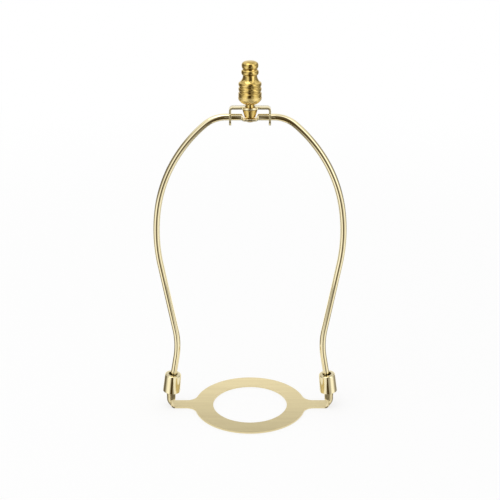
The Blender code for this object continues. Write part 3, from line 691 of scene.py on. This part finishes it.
def finial_outline():
    """The turned outline from the tip down to the underside."""
    outline = soft_corner(0.0, KNOB_WIDEST_Z, KNOB_R, KNOB_TOP_HEIGHT, KNOB_TOP_POWER,
                          90.0, 0.0, KNOB_STEPS)
    outline += soft_corner(KNOB_STEM_R, KNOB_WIDEST_Z, KNOB_R - KNOB_STEM_R, -KNOB_LOW_HEIGHT,
                           KNOB_LOW_POWER, 0.0, 90.0, BEAD_STEPS)[1:]
    outline += swell(COVE_R_TOP, COLLAR_Z, COLLAR_HEIGHT, COLLAR_BULGE, 2 * BEAD_STEPS)
    outline += cove(BEAD_STEPS)
    outline += swell(GROOVE_R, HIGH_BEAD_Z, BEAD_HEIGHT, BEAD_BULGE, BEAD_STEPS)[1:]
    outline += swell(GROOVE_R, LOW_BEAD_Z, BEAD_HEIGHT, BEAD_BULGE, BEAD_STEPS)
    outline += arc((GROOVE_R, BAND_TOP - GROOVE_DEPTH), GROOVE_DEPTH, 90.0, 0.0, EDGE_STEPS)
    outline += soft_corner(FINIAL_FOOT_R, FINIAL_FOOT_RISE, BAND_R - FINIAL_FOOT_R, -FINIAL_FOOT_RISE,
                           FINIAL_FOOT_POWER, 0.0, 90.0, KNOB_STEPS)
    return outline


def make_finial(material):
    profile = finial_outline()
    profile += [(FINIAL_BORE_R, 0.0), (FINIAL_BORE_R, FINIAL_BORE_DEPTH), (0.0, FINIAL_BORE_DEPTH)]
    bm = turned_mesh(profile, TURN_STEPS, Matrix.Translation((0.0, 0.0, FINIAL_Z)))
    finish_mesh("finial_form", bm, material, "finial", "finial")


def web_face_x(stations):
    """Outer face of an ear's web, just clear of the foot."""
    return stations[-1][0] + FOOT_OUT + GAP + PLATE_T


def ear_stations(web_x):
    """Middle surface up the centre of one ear: x, z, heading up from flat, curl and flange."""
    half_t = 0.5 * PLATE_T
    bend_x = web_x - BEND_R
    bend_r = BEND_R - half_t
    upright = 0.5 * pi
    stations = [(bend_x, half_t, 0.0, 0.0, 0.0)]
    for i in range(1, BEND_STEPS + 1):
        turn = upright * i / BEND_STEPS
        (curl,) = blend((0.0,), (upright,), i / BEND_STEPS)
        stations.append((bend_x + bend_r * sin(turn), BEND_R - bend_r * cos(turn), turn, curl, 0.0))
    low_flange = EAR_REACH_LOW - EAR_CORNER_R
    for i in range(1, CURL_STEPS + 1):
        turn = upright * i / CURL_STEPS
        z = BEND_R + (EAR_FLANGE_Z - BEND_R) * (1.0 - cos(turn))
        stations.append((web_x - half_t, z, upright, upright, low_flange * sin(turn)))
    stations.append((web_x - half_t, EAR_TOP, upright, upright, EAR_REACH_TOP - EAR_CORNER_R))
    return stations


def ear_section(curl, flange):
    """Across one side of the strip: y, depth towards the channel, and the surface's own turn."""
    wrap = 0.5 * pi * (EAR_CORNER_R - 0.5 * PLATE_T)
    flat_half = 0.5 * EAR_WEB_FLAT
    points = [(flat_half, 0.0, 0.0)]
    for i in range(1, CURL_STEPS + 1):
        share = i / CURL_STEPS
        turn = curl * share
        if curl > TINY:
            radius = wrap / curl
            points.append((flat_half + radius * sin(turn), radius * (1.0 - cos(turn)), turn))
        else:
            points.append((flat_half + wrap * share, 0.0, 0.0))
    y, depth, turn = points[-1]
    for i in range(1, FLANGE_STEPS + 1):
        reach = flange * i / FLANGE_STEPS
        points.append((y + reach * cos(curl), depth + reach * sin(curl), curl))
    return points


def ear_rows(web_x, side):
    """Outer and inner points of one ear, row by row."""
    outer = []
    inner = []
    for x, z, heading, curl, flange in ear_stations(web_x):
        inward = Vector((-sin(heading), 0.0, cos(heading)))
        out_row = []
        in_row = []
        half = ear_section(curl, flange)
        for way, points in ((-1.0, half[::-1]), (1.0, half)):
            for y, depth, turn in points:
                middle = Vector((x, way * y, z)) + inward * depth
                normal = inward * cos(turn) - Vector((0.0, way * sin(turn), 0.0))
                for row, shift in ((out_row, -0.5 * PLATE_T), (in_row, 0.5 * PLATE_T)):
                    point = middle + normal * shift
                    row.append(Vector((side * point.x, point.y, point.z)))
        outer.append(out_row)
        inner.append(in_row)
    return outer, inner


def add_ear(bm, web_x, side):
    outer, inner = ear_rows(web_x, side)
    out_verts = [add_points(bm, row) for row in outer]
    in_verts = [add_points(bm, row) for row in inner]
    for layer in (out_verts, in_verts):
        for near, far in zip(layer, layer[1:]):
            for k in range(len(near) - 1):
                bm.faces.new([near[k], near[k + 1], far[k + 1], far[k]])
    for i in range(len(out_verts) - 1):
        for k in (0, -1):
            bm.faces.new([out_verts[i][k], out_verts[i + 1][k], in_verts[i + 1][k], in_verts[i][k]])
    for k in range(len(out_verts[-1]) - 1):
        bm.faces.new([out_verts[-1][k], out_verts[-1][k + 1], in_verts[-1][k + 1], in_verts[-1][k]])


def plate_outline(join_x):
    """The ring with its two arms, anticlockwise from the right arm's end."""
    half = ear_section(0.0, 0.0)[:CURL_STEPS + 1]
    arm_half = half[-1][0]
    end_ys = [-y for y, _, _ in half[::-1]] + [y for y, _, _ in half]
    fillet_x = sqrt((RING_R + ARM_FILLET_R) ** 2 - (arm_half + ARM_FILLET_R) ** 2)
    meet = degrees(atan2(arm_half + ARM_FILLET_R, fillet_x))
    fillet = arc((fillet_x, arm_half + ARM_FILLET_R), ARM_FILLET_R, 270.0, 180.0 + meet, STRAP_STEPS)
    rim = arc((0.0, 0.0), RING_R, meet, 180.0 - meet, RING_STEPS // 2)[1:-1]
    upper = fillet + rim + [(-x, y) for x, y in fillet[::-1]]
    lower = [(x, -y) for x, y in upper[::-1]]
    right_end = [(join_x, y) for y in end_ys]
    left_end = [(-join_x, y) for y in end_ys[::-1]]
    return right_end + upper + left_end + lower


def add_plate(bm, join_x):
    outline = plate_outline(join_x)
    hole = arc((0.0, 0.0), RING_HOLE_R, 0.0, 360.0, RING_STEPS)[:-1]
    layers = []
    for z in (0.0, PLATE_T):
        loops = []
        edges = []
        for points in (outline, hole):
            verts = add_points(bm, [(x, y, z) for x, y in points])
            edges += [bm.edges.new((verts[k - 1], verts[k])) for k in range(len(verts))]
            loops.append(verts)
        bmesh.ops.triangle_fill(bm, use_beauty=True, edges=edges)
        layers.append(loops)
    for low, top, points in zip(layers[0], layers[1], (outline, hole)):
        for k in range(len(low)):
            at_arm_end = abs(points[k - 1][0]) == join_x and abs(points[k][0]) == join_x
            if not at_arm_end:
                bm.faces.new([low[k - 1], low[k], top[k], top[k - 1]])


def make_saddle(stations, material):
    web_x = web_face_x(stations)
    bm = bmesh.new()
    add_plate(bm, web_x - BEND_R)
    for side in (-1.0, 1.0):
        add_ear(bm, web_x, side)
    saddle = finish_mesh("saddle_form", bm, material, "saddle", "saddle")
    for side in (-1.0, 1.0):
        centre = (side * (web_x - 0.5 * PLATE_T), 0.0, BEND_R + EAR_HOLE_ABOVE_BEND)
        bore(saddle, centre, (1.0, 0.0, 0.0), EAR_HOLE_R, CUTTER_REACH * PLATE_T)
    edge = saddle.modifiers.new("edge", "BEVEL")
    edge.width = PLATE_BREAK * MM
    edge.segments = PLATE_BREAK_SEGMENTS
    edge.limit_method = "ANGLE"
    edge.angle_limit = radians(PLATE_BREAK_ANGLE)
    edge.harden_normals = True


def ear_girth(axis_x, web_x, height):
    """Radius about a point that just takes in the ear at a height."""
    share = min(max((height - EAR_FLANGE_Z) / (EAR_TOP - EAR_FLANGE_Z), 0.0), 1.0)
    edge_x = web_x - EAR_REACH_LOW - EAR_FLARE * share
    to_edge = hypot(axis_x - edge_x, 0.5 * EAR_DEPTH)
    to_corner = hypot(web_x - EAR_CORNER_R - axis_x, 0.5 * EAR_WEB_FLAT) + EAR_CORNER_R
    return max(to_edge, to_corner)


def sleeve_fit(stations, web_x):
    """Middle of the sleeve's open end, its radius there and its radius at the roof."""
    lean = radians(SLEEVE_LEAN)
    axis = Vector((-sin(lean), 0.0, cos(lean)))
    ear_corner = Vector((web_x - EAR_REACH_TOP, 0.0, EAR_TOP))
    roof = Vector((0.0, 0.0, EAR_TOP))
    for _ in range(SEAT_TRIALS):
        roof.x = leg_x(stations, roof.z) + SLEEVE_SET_OUT
        roof.z += GAP + 0.5 * SLEEVE_ROOF - (roof - ear_corner).dot(axis)
    foot = roof - axis * (SLEEVE_LENGTH - 0.5 * SLEEVE_ROOF)
    top_x = roof.x + (roof.z - EAR_TOP) * tan(lean)
    low_r = ear_girth(foot.x, web_x, foot.z) + SLEEVE_EASE_LOW + SLEEVE_WALL
    top_r = ear_girth(top_x, web_x, EAR_TOP) + SLEEVE_EASE_TOP + SLEEVE_WALL
    return foot, low_r, top_r


def sleeve_profile(low_r, top_r):
    """A slightly conical cap, open below, with a hole for the wire in its roof."""
    inner_edge = SLEEVE_EDGE_R - 0.5 * SLEEVE_WALL
    roof_under = SLEEVE_LENGTH - SLEEVE_ROOF
    outer_centre = (top_r - SLEEVE_EDGE_R, SLEEVE_LENGTH - SLEEVE_EDGE_R)
    inner_centre = (top_r - SLEEVE_WALL - inner_edge, roof_under - inner_edge)
    profile = [(low_r - SLEEVE_WALL, 0.0)]
    profile += arc((low_r - SLEEVE_BREAK, SLEEVE_BREAK), SLEEVE_BREAK, -90.0, 0.0,
                   SLEEVE_BREAK_STEPS)
    profile += arc(outer_centre, SLEEVE_EDGE_R, 0.0, 90.0, EDGE_STEPS)
    profile += [(SLEEVE_HOLE_R, SLEEVE_LENGTH), (SLEEVE_HOLE_R, roof_under)]
    profile += arc(inner_centre, inner_edge, 90.0, 0.0, EDGE_STEPS)
    return profile


def make_sleeves(stations, material):
    foot, low_r, top_r = sleeve_fit(stations, web_face_x(stations))
    profile = sleeve_profile(low_r, top_r)
    for name, side in (("sleeve_left", -1.0), ("sleeve_right", 1.0)):
        place = Vector((side * foot.x, 0.0, foot.z))
        lean = Matrix.Rotation(-side * radians(SLEEVE_LEAN), 4, "Y")
        bm = turned_mesh(profile, SLEEVE_STEPS, Matrix.Translation(place) @ lean)
        finish_mesh(name + "_form", bm, material, name, name)


def link(tree, source, output, target, slot):
    tree.links.new(source.outputs[output], target.inputs[slot])


def streaks(tree, scale, detail):
    """Noise over the piece, stretched by a scale along each axis, in cycles to the metre."""
    place = tree.nodes.new("ShaderNodeTexCoord")
    stretch = tree.nodes.new("ShaderNodeMapping")
    stretch.inputs["Scale"].default_value = scale
    noise = tree.nodes.new("ShaderNodeTexNoise")
    noise.inputs["Scale"].default_value = 1.0
    noise.inputs["Detail"].default_value = detail
    link(tree, place, "Object", stretch, "Vector")
    link(tree, stretch, "Vector", noise, "Vector")
    return noise


def spread(tree, noise, low, high):
    """Turn noise into a number between two limits."""
    span = tree.nodes.new("ShaderNodeMapRange")
    span.inputs["From Min"].default_value = NOISE_LOW
    span.inputs["From Max"].default_value = NOISE_HIGH
    span.inputs["To Min"].default_value = low
    span.inputs["To Max"].default_value = high
    link(tree, noise, "Fac", span, "Value")
    return span.outputs["Result"]


def mixed(tree, share, first, second):
    """Mix two colours, each a socket or a plain colour."""
    mix = tree.nodes.new("ShaderNodeMix")
    mix.data_type = "RGBA"
    mix.clamp_factor = False
    tree.links.new(share, mix.inputs["Factor"])
    for slot, value in (("A", first), ("B", second)):
        if isinstance(value, tuple):
            mix.inputs[slot].default_value = value
        else:
            tree.links.new(value, mix.inputs[slot])
    return mix.outputs["Result"]


def matte_foot_and_painted_reflection(tree, colour, rubbed, height):
    """Dull a turned piece below a height, and lighten its colour there with a painted reflection."""
    place = tree.nodes.new("ShaderNodeTexCoord")
    split = tree.nodes.new("ShaderNodeSeparateXYZ")
    link(tree, place, "Object", split, "Vector")
    edge = MATTE_AND_REFLECTION_EDGE * MM
    share = ease(tree, split.outputs["Z"], height - edge, height + edge, 1.0, 0.0)
    dull = maths(tree, "MULTIPLY", share, MATTE_ROUGHNESS)
    # The lighter tint mixed in below the height is a painted reflection
    return mixed(tree, share, colour, PAINTED_REFLECTION_TINT), maths(tree, "MAXIMUM", rubbed, dull)


def metal(name, light, dark, roughness, tint_scale, grain_scale, bump, matte_and_painted_reflection_below=None):
    """A metal: two tints in clouds, a rubbed roughness and a fine grain, its bump in metres."""
    material = bpy.data.materials.new(name)
    material.use_nodes = True
    tree = material.node_tree
    shader = tree.nodes["Principled BSDF"]
    shader.inputs["Metallic"].default_value = 1.0
    cloud = streaks(tree, tint_scale, TINT_DETAIL)
    tint = tree.nodes.new("ShaderNodeValToRGB")
    tint.color_ramp.elements[0].position = TINT_LOW
    tint.color_ramp.elements[0].color = (*dark, 1.0)
    tint.color_ramp.elements[1].position = TINT_HIGH
    tint.color_ramp.elements[1].color = (*light, 1.0)
    link(tree, cloud, "Fac", tint, "Fac")
    colour = tint.outputs["Color"]
    grain = streaks(tree, grain_scale, GRAIN_DETAIL)
    rubbed = spread(tree, grain, roughness[0], roughness[1])
    # Below a given height the piece is dulled and lightened by a painted reflection
    if matte_and_painted_reflection_below is not None:
        colour, rubbed = matte_foot_and_painted_reflection(tree, colour, rubbed, matte_and_painted_reflection_below)
    tree.links.new(colour, shader.inputs["Base Color"])
    tree.links.new(rubbed, shader.inputs["Roughness"])
    relief = tree.nodes.new("ShaderNodeBump")
    relief.inputs["Strength"].default_value = 1.0
    relief.inputs["Distance"].default_value = bump
    link(tree, grain, "Fac", relief, "Height")
    link(tree, relief, "Normal", shader, "Normal")
    return material


def wire_metal():
    """Bright plating, its grain drawn out along the legs."""
    return metal("plated_wire", light=(0.90, 0.80, 0.52), dark=(0.85, 0.74, 0.46), roughness=(0.05, 0.10),
                 tint_scale=(25.0, 25.0, 25.0), grain_scale=(300.0, 300.0, 40.0), bump=0.000002)


def sleeve_metal():
    """Bright plating with fine upright lines."""
    return metal("plated_sleeve", light=(0.90, 0.80, 0.52), dark=(0.84, 0.73, 0.45), roughness=(0.06, 0.14),
                 tint_scale=(60.0, 60.0, 60.0), grain_scale=(900.0, 900.0, 60.0), bump=0.000003)


def strap_metal():
    """Plating a little duller than the wire's."""
    return metal("plated_strap", light=(0.88, 0.78, 0.48), dark=(0.82, 0.70, 0.40), roughness=(0.10, 0.22),
                 tint_scale=(90.0, 90.0, 90.0), grain_scale=(200.0, 900.0, 900.0), bump=0.000002)


def saddle_metal():
    """Satin, brushed along the arms."""
    return metal("brushed_saddle", light=(0.755, 0.645, 0.372), dark=(0.705, 0.595, 0.338),
                 roughness=(0.28, 0.37), tint_scale=(18.0, 700.0, 700.0),
                 grain_scale=(45.0, 3600.0, 3600.0), bump=0.000005)


def finial_metal():
    """Flecked and polished, with a matte foot that carries a painted reflection."""
    return metal("turned_finial", light=(0.80, 0.59, 0.20), dark=(0.50, 0.355, 0.105),
                 roughness=(0.06, 0.13), tint_scale=(420.0, 420.0, 640.0),
                 grain_scale=(620.0, 620.0, 1300.0), bump=0.00004,
                 matte_and_painted_reflection_below=(FINIAL_Z + FINIAL_FOOT_RISE + MATTE_AND_REFLECTION_RISE) * MM)


def stud_metal():
    """Darker brass with turning marks round it."""
    return metal("turned_stud", light=(0.74, 0.55, 0.19), dark=(0.62, 0.44, 0.13), roughness=(0.12, 0.22),
                 tint_scale=(110.0, 110.0, 110.0), grain_scale=(120.0, 120.0, 2600.0), bump=0.000005)


def flat_sheet(name, size_x, size_y):
    """A flat rectangle about its own middle, and the empty node tree of its material."""
    mesh = bpy.data.meshes.new(name)
    bm = bmesh.new()
    bmesh.ops.create_grid(bm, x_segments=1, y_segments=1, size=0.5)
    bmesh.ops.scale(bm, vec=(size_x, size_y, 1.0), verts=bm.verts)
    bm.to_mesh(mesh)
    bm.free()
    sheet = bpy.data.objects.new(name, mesh)
    bpy.context.collection.objects.link(sheet)
    material = bpy.data.materials.new(name)
    material.use_nodes = True
    material.node_tree.nodes.clear()
    mesh.materials.append(material)
    return sheet, material.node_tree


def maths(tree, operation, first, second=None):
    """A Math node on sockets or plain numbers."""
    node = tree.nodes.new("ShaderNodeMath")
    node.operation = operation
    for slot, value in zip(node.inputs, (first, second)):
        if isinstance(value, float):
            slot.default_value = value
        elif value is not None:
            tree.links.new(value, slot)
    return node.outputs["Value"]


def ease(tree, value, low, high, start, end):
    """Ease from start to end while a value runs from low to high."""
    node = tree.nodes.new("ShaderNodeMapRange")
    node.interpolation_type = "SMOOTHSTEP"
    node.inputs["From Min"].default_value = low
    node.inputs["From Max"].default_value = high
    node.inputs["To Min"].default_value = start
    node.inputs["To Max"].default_value = end
    tree.links.new(value, node.inputs["Value"])
    return node.outputs["Result"]


def ramp(tree, value, stops):
    """A grey level read off a row of (position, level) stops."""
    node = tree.nodes.new("ShaderNodeValToRGB")
    elements = node.color_ramp.elements
    elements.remove(elements[-1])
    elements[0].position = stops[0][0]
    elements[0].color = (stops[0][1], stops[0][1], stops[0][1], 1.0)
    for position, level in stops[1:]:
        elements.new(position).color = (level, level, level, 1.0)
    tree.links.new(value, node.inputs["Fac"])
    return node.outputs["Color"]


def make_floor():
    """Pale floor: its colour comes up to white for the camera and it keeps the shadow."""
    floor, tree = flat_sheet("floor", 2.0 * FLOOR_HALF, 2.0 * FLOOR_HALF)
    floor.location.z = -FLOOR_DROP
    floor.visible_glossy = False
    paper = tree.nodes.new("ShaderNodeBsdfDiffuse")
    paper.inputs["Color"].default_value = (FLOOR_PAPER, FLOOR_PAPER, FLOOR_PAPER, 1.0)
    glow = tree.nodes.new("ShaderNodeEmission")
    path = tree.nodes.new("ShaderNodeLightPath")
    place = tree.nodes.new("ShaderNodeTexCoord")
    length = tree.nodes.new("ShaderNodeVectorMath")
    length.operation = "LENGTH"
    link(tree, place, "Object", length, 0)
    white = ease(tree, length.outputs["Value"], FLOOR_FADE_FROM, FLOOR_FADE_TO, FLOOR_WHITE_NEAR, 1.0)
    share = maths(tree, "MULTIPLY", path.outputs["Is Camera Ray"], white)
    mix = tree.nodes.new("ShaderNodeMixShader")
    end = tree.nodes.new("ShaderNodeOutputMaterial")
    tree.links.new(share, mix.inputs["Fac"])
    tree.links.new(paper.outputs["BSDF"], mix.inputs[1])
    tree.links.new(glow.outputs["Emission"], mix.inputs[2])
    tree.links.new(mix.outputs["Shader"], end.inputs["Surface"])


def reflector(name, size, place, pitch, levels):
    """A studio card seen only in the metal, its brightness graded from its lower edge up."""
    card, tree = flat_sheet(name, size[0], size[1])
    card.location = place
    card.rotation_euler.x = radians(pitch)
    card.visible_camera = False
    card.visible_diffuse = False
    card.visible_shadow = False
    spot = tree.nodes.new("ShaderNodeTexCoord")
    split = tree.nodes.new("ShaderNodeSeparateXYZ")
    link(tree, spot, "Object", split, "Vector")
    half = 0.5 * size[1]
    level = ease(tree, split.outputs["Y"], -half, half, levels[0], levels[1])
    glow = tree.nodes.new("ShaderNodeEmission")
    end = tree.nodes.new("ShaderNodeOutputMaterial")
    tree.links.new(level, glow.inputs["Strength"])
    tree.links.new(glow.outputs["Emission"], end.inputs["Surface"])


def studio_colour(tree):
    """What the metal reflects: pale walls, a narrow warm dark gap in front and a dark underside."""
    place = tree.nodes.new("ShaderNodeTexCoord")
    split = tree.nodes.new("ShaderNodeSeparateXYZ")
    link(tree, place, "Generated", split, "Vector")
    height = split.outputs["Z"]
    front = maths(tree, "MULTIPLY", split.outputs["Y"], -1.0)
    heading = maths(tree, "DIVIDE", maths(tree, "ARCTAN2", split.outputs["X"], front), 2.0 * pi)
    turn = maths(tree, "ADD", heading, 0.5)
    raised = ease(tree, height, HORIZON_FROM, HORIZON_TO, 0.0, 1.0)
    walls = mixed(tree, raised, ramp(tree, turn, LOW_WALLS), ramp(tree, turn, HIGH_WALLS))
    ahead = maths(tree, "MAXIMUM", front, 0.0)
    lifted = maths(tree, "SUBTRACT", height, maths(tree, "MULTIPLY", ahead, TOP_LIFT))
    pale = ease(tree, lifted, TOP_FROM, TOP_TO, 0.0, 1.0)
    dim = ease(tree, height, ZENITH_FROM, ZENITH_TO, 0.0, ZENITH_DIM)
    top = maths(tree, "SUBTRACT", pale, dim)
    depth = maths(tree, "ABSOLUTE", front)
    sunk = maths(tree, "SUBTRACT", height, maths(tree, "MULTIPLY", depth, UNDER_SINK))
    under = ease(tree, sunk, UNDER_FROM, UNDER_TO, UNDER_LEVEL, 1.0)
    level = maths(tree, "MULTIPLY", maths(tree, "MAXIMUM", walls, top), under)
    return mixed(tree, level, WALL_DARK, WALL_LIGHT)


def make_world():
    """White to the camera, a studio to the metal and a plain level to the floor."""
    world = bpy.data.worlds.new("studio")
    bpy.context.scene.world = world
    world.use_nodes = True
    tree = world.node_tree
    tree.nodes.clear()
    path = tree.nodes.new("ShaderNodeLightPath")
    studio = tree.nodes.new("ShaderNodeBackground")
    tree.links.new(studio_colour(tree), studio.inputs["Color"])
    plain = tree.nodes.new("ShaderNodeBackground")
    plain.inputs["Strength"].default_value = PLAIN_LEVEL
    white = tree.nodes.new("ShaderNodeBackground")
    for node in (plain, white):
        node.inputs["Color"].default_value = (1.0, 1.0, 1.0, 1.0)
    metal_mix = tree.nodes.new("ShaderNodeMixShader")
    camera_mix = tree.nodes.new("ShaderNodeMixShader")
    end = tree.nodes.new("ShaderNodeOutputWorld")
    link(tree, path, "Is Glossy Ray", metal_mix, "Fac")
    tree.links.new(plain.outputs["Background"], metal_mix.inputs[1])
    tree.links.new(studio.outputs["Background"], metal_mix.inputs[2])
    link(tree, path, "Is Camera Ray", camera_mix, "Fac")
    tree.links.new(metal_mix.outputs["Shader"], camera_mix.inputs[1])
    tree.links.new(white.outputs["Background"], camera_mix.inputs[2])
    tree.links.new(camera_mix.outputs["Shader"], end.inputs["Surface"])


def point_at(item, target):
    """Turn a lamp or a camera towards a point."""
    aim = Vector(target) - item.location
    item.rotation_euler = aim.to_track_quat("-Z", "Y").to_euler()


def make_lamp():
    light = bpy.data.lights.new("key", "AREA")
    light.shape = "SQUARE"
    light.size = KEY_SIZE
    light.energy = KEY_ENERGY
    lamp = bpy.data.objects.new("key", light)
    lamp.location = KEY_PLACE
    point_at(lamp, KEY_AIM)
    bpy.context.collection.objects.link(lamp)


def make_camera():
    data = bpy.data.cameras.new("camera")
    data.lens = LENS_MM
    camera = bpy.data.objects.new("camera", data)
    camera.location = (0.0, -CAMERA_DISTANCE, CAMERA_HEIGHT)
    point_at(camera, (0.0, 0.0, AIM_HEIGHT))
    bpy.context.collection.objects.link(camera)
    bpy.context.scene.camera = camera


def build():
    """Every piece of the lamp harp on its body."""
    stations = half_run()
    make_saddle(stations, saddle_metal())
    make_wire(stations, wire_metal())
    make_bracket(strap_metal())
    make_stud(stud_metal())
    make_finial(finial_metal())
    make_sleeves(stations, sleeve_metal())


build()
make_floor()
for card in CARDS:
    reflector(*card)
make_world()
make_lamp()
make_camera()
bpy.context.scene.view_settings.view_transform = "Standard"
